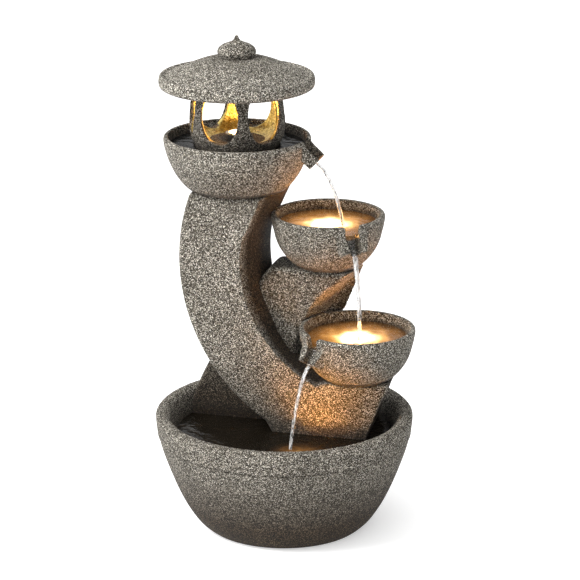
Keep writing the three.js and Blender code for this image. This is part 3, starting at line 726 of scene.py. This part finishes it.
def small_outside(r, grow=0.0):
    """The outside of a small bowl of radius r, or the same grown by a clearance."""
    k = (r + grow) / 90
    side = [(x * k, z - (grow if z < -10 else 0)) for x, z in SMALL_SIDE]
    return [(0, -84 - grow)] + curve(side, 4)


def bowl_seat(bowl):
    """The bowl's outside, grown by the clearance, for cutting its seat in what carries it."""
    side = small_outside(bowl["r"], GAP)
    return place(turned("cutter", side + [(side[-1][0], 2), (0, 2)], segments=120), bowl)


def spouted(name, outside, inside, spout):
    """A turned bowl with a sloping spout, its channel cut through the wall."""
    lip = trough(spout, spout["lip"], 6, 0, -20, 0)
    combine(lip, "DIFFERENCE", block(-150, 150, -60, 60, 0, 60))
    channel = trough(spout, spout["channel"], 22, 5, -spout["depth"], 40)
    obj = turned(name, outside)
    combine(obj, "UNION", lip)
    combine(obj, "DIFFERENCE", turned("cutter", inside), channel)
    return obj


def bowl_marks(obj, bowl, spout, water):
    """Marks the wet inside and channel and the painted brown shade under a bowl."""
    turn = math.radians(-bowl["turn"])
    slope, length, (c0, c1) = spout["slope"], spout["length"], spout["channel"]

    def wet(x, y, z):
        dx, dy, w = x - bowl["x"], y - bowl["y"], z - bowl["rim"]
        u = dx * math.cos(turn) - dy * math.sin(turn)
        v = dx * math.sin(turn) + dy * math.cos(turn)
        inner = bowl["r"] - bowl["wall"] + 1 + 0.35 * min(0, w + 8)
        under = 1 - ramp(w, water + 1, water + 8)
        if math.hypot(u, v) < inner:
            return under
        along = (u - spout["start"]) * math.cos(slope) - w * math.sin(slope)
        down = (u - spout["start"]) * math.sin(slope) + w * math.cos(slope)
        half = 0.8 + (c0 + (c1 - c0) * along / length) / 2
        in_channel = u > 0 and abs(v) < half and -spout["depth"] - 1.5 < down < -1
        return 0.95 if in_channel and along < length - 0.5 else 0.0

    mark(obj, "wet", wet)
    # Painted shade, deepening down towards the bowl's underside.
    mark(obj, "painted_shade", lambda x, y, z: 0.20 + 0.30 * ramp(bowl["rim"] - z, 30, 85))


def top_bowl():
    """The largest bowl, with the holes for the hose and the lantern lamp's lead."""
    lip = [(113.4, -1.6), (112, 0.2), (109.5, 0.8), (107.5, 0.2), (106.5, -2)]
    outside = [(0, -81)] + curve(TOP_SIDE, 4) + lip[:3] + [(0, 0.8)]
    wall = [(66, -70), (76, -63), (86, -52), (96, -34), (105, -10), (107, 0.5)]
    inside = [(0, -70)] + curve(wall, 4) + [(109, 3), (0, 3)]
    obj = spouted("top_bowl_casting", outside, inside, TOP_SPOUT)
    bores = [rod((0, 0, -120), (0, 0, -60), HOSE_HOLE),
             rod((LEAD_OFFSET, 0, -120), (LEAD_OFFSET, 0, -60), LEAD_HOLE)]
    combine(obj, "DIFFERENCE", *bores)
    place(cast(obj, 1.5), TOP_BOWL)
    bowl_marks(obj, TOP_BOWL, TOP_SPOUT, TOP_BOWL_WATER + 1)
    return keep(obj, STONE, "stone", "top_bowl", angle=80)


def small_bowl(name, node, bowl):
    """The middle or the lower bowl, with a mould line below its rim."""
    r, wall = bowl["r"], bowl["wall"]
    seam = [(r * k, z) for k, z in ((0.967, -22), (0.957, -21.4), (0.958, -20.6), (0.9735, -20.2),
                                    (0.975, -19))]
    side = [p for p in small_outside(r) if p[1] < -24]
    rim = [(r, -6), (r - 0.4, -2.4), (r - 2, -0.3), (0, -0.3)]
    wall_inside = [(60, -60), (70, -44), (77, -24), (r - wall - 2, -8), (r - wall + 1, 1)]
    inside = [(0, -70), (46, -70)] + curve(wall_inside, 4) + [(0, 1)]
    obj = spouted(name, side + seam + rim, inside, SMALL_SPOUT)
    combine(obj, "DIFFERENCE", rod((0, 0, -90), (0, 0, -60), 5))
    place(cast(obj, 1.1, 1), bowl)
    bowl_marks(obj, bowl, SMALL_SPOUT, BOWL_WATER)
    return keep(obj, STONE, "stone", node, angle=80)


# ---------- lantern ----------
WINDOW_HALF, WINDOW_Z = (30.5, 42), 645   # half width and half height, and the middle's height
WINDOWS = 6
FIRST_PILLAR = -67           # degrees


def lantern_cage():
    """The lantern's body: windows between pillars, weep holes at its foot, gold paint inside."""
    outside = [(56, 533.3)] + curve([(56, 550), (63, 584), (73, 608), (76.8, 630), (75, 655),
                                     (70.5, 676), (73, 690)], 3)
    inside = curve([(63, 690), (62, 676), (67, 655), (69, 630), (63, 608), (44, CAGE_FLOOR)], 3)
    socket = [(9, CAGE_FLOOR), (9, 590), (44, 588), (48, 575), (48, 533.3), (56, 533.3)]
    shell = turned("lantern_cage_casting", outside + inside + socket)
    cutters = []
    for k in range(WINDOWS):
        turn = math.radians(FIRST_PILLAR + 30 + 60 * k - 90)
        oval = [(WINDOW_HALF[0] * math.cos(a), WINDOW_Z + WINDOW_HALF[1] * math.sin(a))
                for a in [2 * math.pi * i / 64 for i in range(64)]]
        window = slab("cutter", oval, 35, 95, steps=1)
        window.data.transform(Matrix.Rotation(turn, 4, "Z"))
        cutters.append(window)
        if k % 2 == 0:
            weep = block(-5, 5, 30, 70, 532, 550)
            weep.data.transform(Matrix.Rotation(turn, 4, "Z"))
            cutters.append(weep)
    lead = rod((LEAD_OFFSET, 0, 505), (LEAD_OFFSET, 0, 625), LEAD_HOLE)
    combine(shell, "DIFFERENCE", *cutters, lead)
    shell.data.transform(Matrix.Translation((TOP_BOWL["x"] * MM, TOP_BOWL["y"] * MM, 0)))
    cast(shell, 1.3)
    mark(shell, "wet", lambda x, y, z: 1 - ramp(z, 592, 602))
    # Painted shade, even over the whole cage.
    mark(shell, "painted_shade", lambda x, y, z: 0.5)
    keep(shell, STONE, "stone", "lantern_cage", angle=80)
    shell.data.materials.append(GOLD)
    for face in shell.data.polygons:
        c = face.center / MM - Vector((TOP_BOWL["x"], TOP_BOWL["y"], 0))
        across = math.hypot(c.x, c.y)
        facing_in = face.normal.x * c.x + face.normal.y * c.y < -0.1 * across
        if c.z > CAGE_FLOOR - 2 and across < 71 and facing_in:
            face.material_index = 1
    return shell


def lantern_roof():
    """The low domed cap with a raised, rounded edge."""
    slope = curve([(0, 727), (30, 726), (48, 722.5), (67, 716), (86, 707.5), (101, 700.5),
                   (107, 697.9), (111, 698.3)], 3)
    edge = curve([(111, 698.3), (115, 699.6), (118.2, 698), (119.6, 693.5), (120, 688),
                  (118.4, 682), (112, 679), (105, 678)], 1)
    under = curve([(105, 678), (93, 682), (80, 690.3)], 3)
    seat = [(60, 690.3), (60, 682.3), (55, 682.3), (53, 694.3), (0, 700.3)]
    obj = turned("lantern_roof_casting", slope + edge[1:] + under[1:] + seat,
                 (TOP_BOWL["x"], TOP_BOWL["y"], 0), 240)

    # Browner towards the finial, and painted shade under the rounded edge.
    def painted_shade(x, y, z):
        across = math.hypot(x - TOP_BOWL["x"], y - TOP_BOWL["y"])
        return 0.36 * (1 - ramp(across, 30, 92)) + (0.4 if z < 683 else 0.0)

    mark(obj, "painted_shade", painted_shade)
    return keep(obj, STONE, "stone", "lantern_roof")


def finial():
    """The onion-shaped knob on the roof."""
    base = curve([(25, 727.3), (25.5, 730), (29, 731.5), (29.5, 736), (27, 741), (21, 745.5)], 1)
    tip = curve([(21, 745.5), (12, 749), (6, 752), (3.5, 756), (2, 759), (0, 760)], 1)
    obj = turned("finial_casting", [(0, 727.3)] + base + tip[1:],
                 (TOP_BOWL["x"], TOP_BOWL["y"], 0), 96)
    # Painted shade, even over the whole knob.
    mark(obj, "painted_shade", lambda x, y, z: 0.25)
    return keep(obj, STONE, "stone", "finial")


# ---------- lamps ----------
def fine_lamp(label, r):
    """A lamp puck in fine rings, standing for the faceted housing, lens and clamp ring."""
    x, y, _ = middle_of(label + "_housing")
    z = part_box(label + "_housing")[0][2] / MM
    side = curve([(r, 0.6), (r, 8)], 2)
    cup = [(0, 0), (r - 0.6, 0)] + side + [(r - 2.5, 8), (r - 2.5, 3), (0, 3)]
    crown = curve([(r - 2.8, 8), (r - 6, 11.5), (r / 2 - 2, 12.7), (0, 13)], 1)
    dome = [(0, 3 + GAP), (r - 2.8, 3 + GAP)] + crown
    ring = [(r - 2.2, 8.3), (r + 1.2, 8.3), (r + 1.5, 8.6), (r + 1.5, 10.2), (r + 1.1, 10.5),
            (r - 2.2, 10.5), (r - 2.2, 8.3)]
    parts = [("housing", cup, BLACK, "black_plastic"), ("lens", dome, LENS[label], "lens"),
             ("ring", ring, STEEL, "steel")]
    for part, profile, material, slot in parts:
        node = f"{label}_{part}"
        keep(turned(f"{node}_fine", profile, (x, y, z), 64), material, slot, node)


# ---------- water ----------
def pool(name, centre, radius, level, waves, start=0.5, rings=44):
    """A thin closed water surface from start to radius; its top ripples by waves(x, y)."""
    depth, segments = 1.2, 192
    verts, faces = [], []
    for side in (0, 1):
        for j in range(rings + 1):
            r = start + (radius - start) * j / rings
            for k in range(segments):
                a = 2 * math.pi * k / segments
                x, y = centre[0] + r * math.cos(a), centre[1] + r * math.sin(a)
                verts.append((x, y, level - depth if side else level + waves(x, y)))
    layer = (rings + 1) * segments
    for side in (0, 1):
        for j in range(rings):
            for k in range(segments):
                n = (k + 1) % segments
                a = side * layer + j * segments
                faces.append([a + k, a + n, a + segments + n, a + segments + k])
    for j in (0, rings):
        for k in range(segments):
            n = (k + 1) % segments
            faces.append([j * segments + k, j * segments + n, layer + j * segments + n,
                          layer + j * segments + k])
    return mesh_object(name, verts, faces)


def rings_from(spots, height, length, reach):
    """Ripples that spread from where water lands and fade, over a slight swell."""
    def waves(x, y):
        total = 0.35 * height * noise.noise(Vector((x / 14, y / 14, 3.7)))
        for sx, sy in spots:
            d = math.hypot(x - sx, y - sy)
            total += height * math.cos(2 * math.pi * d / length) * math.exp(-d / reach)
        return total
    return waves


def glow_round(bowl):
    """Light from the lamp under a pool: strongest over the lamp, fading towards the wall."""
    def glow(x, y, z):
        dx, dy = x - bowl["x"], y - bowl["y"]
        d = math.hypot(dx, dy) + 9 * noise.noise(Vector((dx / 17, dy / 17, 1.3)))
        return 1.0 - 0.52 * ramp(d, 13, 38) - 0.32 * ramp(d, 40, 74)
    return glow


def spout_point(bowl, spout, u, lift):
    """A point lift above the channel floor, u along it, in the object's frame."""
    slope, down = spout["slope"], lift - spout["depth"]
    x = spout["start"] + u * math.cos(slope) + down * math.sin(slope)
    z = -u * math.sin(slope) + down * math.cos(slope)
    a = math.radians(bowl["turn"])
    return Vector((bowl["x"] + x * math.cos(a), bowl["y"] + x * math.sin(a), bowl["rim"] + z))


def stream(name, bowl, spout, landing, half_width, seed):
    """Water that runs down a spout's channel, narrows to a rope and falls to its landing."""
    length, (c0, c1) = spout["length"], spout["channel"]
    places = [length * t for t in (0.15, 0.35, 0.55, 0.75, 0.9, 1.0)]
    run = [spout_point(bowl, spout, u, 1.2) for u in places]
    tip, end = run[-1], Vector(landing)
    away = (run[-1] - run[-2]).normalized()
    drop = tip.z - end.z
    path = []                    # points, each with how far the water spreads past its rope
    for u, p in zip(places, run):
        half_channel = (c0 + (c1 - c0) * u / length) / 2
        path.append((p, max(0.0, half_channel - 4.1 - 0.42 * u * c1 / length)))
    steps, sides = 40, 14
    for k in range(1, steps + 1):
        t = k / steps
        flat = tip.lerp(end, t * (1.25 - 0.25 * t))
        fall = tip.z - drop * (0.35 * t + 0.65 * t * t)
        path.append((Vector((flat.x, flat.y, fall)), 1.2 * (1 - t) ** 3))
    aside = Vector((-away.y, away.x, 0)).normalized()
    verts, faces = [], []
    for i, (p, spread) in enumerate(path):
        ahead = path[min(i + 1, len(path) - 1)][0] - path[max(i - 1, 0)][0]
        up = ahead.normalized().cross(aside).normalized()
        twist = 0.16 * max(0, i - len(places) + 1)
        thick = 0.62 * half_width if i > len(places) else 0.6
        for k in range(sides):
            a = 2 * math.pi * k / sides
            wave = 1 + 0.42 * noise.noise(Vector((3 * math.cos(a + twist), 3 * math.sin(a + twist),
                                                  p.z / 11 + seed)))
            wide, high = (half_width + spread) * wave, thick * wave
            verts.append(tuple(p + aside * (wide * math.cos(a)) + up * (high * math.sin(a))))
    for i in range(len(path) - 1):
        for k in range(sides):
            n = (k + 1) % sides
            faces.append([i * sides + k, i * sides + n, (i + 1) * sides + n, (i + 1) * sides + k])
    faces.append(list(range(sides)))
    faces.append([(len(path) - 1) * sides + k for k in reversed(range(sides))])
    obj = mesh_object(name, verts, faces)
    obj.modifiers.new("round", "SUBSURF").levels = 2
    settle(obj)
    # Where the painted streaks show: on the water once it leaves the spout.
    mark(obj, "fall", lambda x, y, z: ramp(tip.z - z, -3, 6))
    keep(obj, STREAM, "water", angle=180)


def water():
    """The water in the basin and the bowls, and the three streams between them."""
    top_land = (77, 64, MIDDLE_BOWL["rim"] + BOWL_WATER)
    middle_land = (118, 9, LOWER_BOWL["rim"] + BOWL_WATER)
    lower_land = (31, -81.5, BASIN_WATER)
    basin_pool = pool("basin_water", (0, 0), 167.6, BASIN_WATER,
                      rings_from([lower_land[:2]], 1.1, 15, 38), rings=90)
    stones = [slab("cutter", crescent_outline(), FRONT_Y - 0.4, BACK_Y, 0, crescent_shift),
              rear_slab("cutter", 0, 0.4)]
    combine(basin_pool, "DIFFERENCE", *stones)
    x, y = SPOT_LENS[0] - 10, SPOT_LENS[1] - 22
    mark(basin_pool, "glow",
         lambda px, py, pz: 0.46 * (1 - ramp(math.hypot(px - x, py - y), 6, 48)))
    keep(basin_pool, POOL_WATER, "water")
    tx, ty = TOP_BOWL["x"], TOP_BOWL["y"]
    upper = pool("top_bowl_water", (tx, ty), 103.6, TOP_BOWL["rim"] + TOP_BOWL_WATER,
                 rings_from([(tx + 60, ty - 62), (tx - 80, ty - 30)], 0.5, 17, 60), start=67)
    keep(upper, TOP_WATER, "water")
    for name, bowl, land in (("middle_bowl_water", MIDDLE_BOWL, top_land),
                             ("lower_bowl_water", LOWER_BOWL, middle_land)):
        radius = bowl["r"] - bowl["wall"] - 3.2
        lit = pool(name, (bowl["x"], bowl["y"]), radius, bowl["rim"] + BOWL_WATER,
                   rings_from([land[:2]], 1.0, 12, 26))
        mark(lit, "glow", glow_round(bowl))
        keep(lit, LIT_WATER, "water")
    stream("upper_stream", TOP_BOWL, TOP_SPOUT, top_land, 4.0, 1.0)
    stream("middle_stream", MIDDLE_BOWL, SMALL_SPOUT, middle_land, 3.5, 5.0)
    stream("lower_stream", LOWER_BOWL, SMALL_SPOUT, lower_land, 3.0, 9.0)


# ---------- finishes for the CAD pieces that stay ----------
FINISHES = {
    "stone": STONE, "gold_stone": GOLD, "steel": STEEL, "rubber": RUBBER, "hose": HOSE,
    "foam": FOAM, "ceramic": CERAMIC, "magnet": MAGNET, "grey_plastic": GREY,
    "black_plastic": BLACK,
    "lens": LENS["spot_lamp"],
}


def finish_cad_pieces():
    """Gives each CAD node its finish, and softens the moulded edges of the ones that stay."""
    slots = {p["node"]: p["material_slot"] for p in frame["record"]["subparts"]}
    for name, node in frame["nodes"].items():
        node.data.materials.clear()
        node.data.materials.append(FINISHES[slots[name]])
        weld = node.modifiers.new("weld", "WELD")
        weld.merge_threshold = 1e-5
        bevel = node.modifiers.new("soft_edges", "BEVEL")
        bevel.width, bevel.segments = SOFT_EDGE * MM, 2
        bevel.limit_method, bevel.angle_limit = "ANGLE", math.radians(50)


# ---------- light, floor and camera ----------
def lamp(kind, name, at, power, colour, **settings):
    """A light at a place in millimetres, with any of its settings."""
    data = bpy.data.lights.new(name, kind)
    data.energy, data.color = power, colour
    for key, value in settings.items():
        setattr(data, key, value)
    obj = bpy.data.objects.new(name, data)
    obj.location = [MM * c for c in at]
    bpy.context.collection.objects.link(obj)
    return obj


WARM = (1.0, 0.50, 0.14)
AMBER = (1.0, 0.44, 0.08)


def aim_at(obj, at, target):
    aim = Vector(target) - Vector(at)
    obj.rotation_euler = aim.to_track_quat("-Z", "Y").to_euler()


def lamplight():
    """The warm light of the four lamps."""
    for label, bowl in (("middle", MIDDLE_BOWL), ("lower", LOWER_BOWL)):
        x, y, z = bowl["x"], bowl["y"], bowl["rim"] - 70
        lamp("POINT", f"{label}_floor_glow", (x, y, z + 26), 0.3, WARM, shadow_soft_size=0.012)
        lamp("POINT", f"{label}_pool_glow", (x, y, z + 62), 0.16, WARM, shadow_soft_size=0.02)
        beam = lamp("SPOT", f"{label}_beam", (x, y, z + 16), 3.4, WARM, shadow_soft_size=0.012)
        beam.data.spot_size, beam.data.spot_blend = math.radians(120), 0.8
        beam.rotation_euler = (math.pi, 0, 0)
    x, y = TOP_BOWL["x"], TOP_BOWL["y"]
    lamp("POINT", "lantern_glow", (x, y, CAGE_FLOOR + 20), 0.22, WARM, shadow_soft_size=0.010)
    x, y, _ = SPOT_LENS
    at = (x, y, BASIN_WATER + 6)     # above the water, whose surface would stop the light
    spot = lamp("SPOT", "foot_beam", at, 2.1, AMBER, shadow_soft_size=0.012)
    spot.data.spot_size, spot.data.spot_blend = math.radians(140), 1.0
    aim_at(spot, at, (x + 14, FRONT_Y, BASIN_WATER + 90))


KEY_AT, KEY_TARGET = (-1500, -1500, 2300), (0, 0, 380)
KEY_SIZE, KEY_POWER = 1100, 90
SKY_TOWARD = (-0.54, -0.42, 0.80)   # where the sky is brightest
SKY_STRENGTH = (0.20, 1.95)         # away from there, and there
FLOOR_HALF = 20000


def studio():
    """A white floor under a soft sky that is bright to the upper left and dim to the right."""
    world = bpy.data.worlds.new("studio")
    world.use_nodes = True
    tree = world.node_tree
    tree.nodes["Background"].inputs["Color"].default_value = (1, 1, 1, 1)
    around = tree.nodes.new("ShaderNodeTexCoord")
    toward = tree.nodes.new("ShaderNodeVectorMath")
    toward.operation = "DOT_PRODUCT"
    toward.inputs[1].default_value = Vector(SKY_TOWARD).normalized()
    spread = tree.nodes.new("ShaderNodeMapRange")
    for key, value in (("From Min", -0.35), ("From Max", 1.0), ("To Min", SKY_STRENGTH[0]),
                       ("To Max", SKY_STRENGTH[1])):
        spread.inputs[key].default_value = value
    tree.links.new(around.outputs["Generated"], toward.inputs[0])
    tree.links.new(toward.outputs["Value"], spread.inputs["Value"])
    tree.links.new(spread.outputs["Result"], tree.nodes["Background"].inputs["Strength"])
    bpy.context.scene.world = world
    f = FLOOR_HALF
    floor = mesh_object("studio_floor", [(-f, -f, 0), (f, -f, 0), (f, f, 0), (-f, f, 0)],
                        [[0, 1, 2, 3]])
    n = Nodes("floor_white")
    floor.data.materials.append(n.principled(Base_Color=(0.8, 0.8, 0.8, 1), Roughness=0.9,
                                             Emission_Color=(1, 1, 1, 1), Emission_Strength=0.42))
    key = lamp("AREA", "key", KEY_AT, KEY_POWER, (1, 1, 1), size=KEY_SIZE * MM)
    aim_at(key, KEY_AT, KEY_TARGET)
    bpy.context.scene.view_settings.view_transform = "Standard"


CAMERA_AT = (1.0037, -3.7458, 1.5911)   # metres
CAMERA_LENS, CAMERA_SENSOR = 164.2, 36
CAMERA_DOWN, CAMERA_TURN = 17.378, 15 - 0.1308   # degrees


def camera():
    """The photograph's point of view."""
    data = bpy.data.cameras.new("camera")
    data.lens, data.sensor_width = CAMERA_LENS, CAMERA_SENSOR
    obj = bpy.data.objects.new("camera", data)
    obj.location = CAMERA_AT
    obj.rotation_euler = (math.radians(90 - CAMERA_DOWN), 0, math.radians(CAMERA_TURN))
    bpy.context.collection.objects.link(obj)
    bpy.context.scene.camera = obj


# ---------- assembly ----------
camera()
finish_cad_pieces()
basin()
crescents()
top_bowl()
small_bowl("middle_bowl_casting", "middle_bowl", MIDDLE_BOWL)
small_bowl("lower_bowl_casting", "lower_bowl", LOWER_BOWL)
lantern_cage()
lantern_roof()
finial()
fine_lamp("lantern_lamp", 16)
fine_lamp("middle_lamp", 20)
fine_lamp("lower_lamp", 20)
water()
lamplight()
studio()
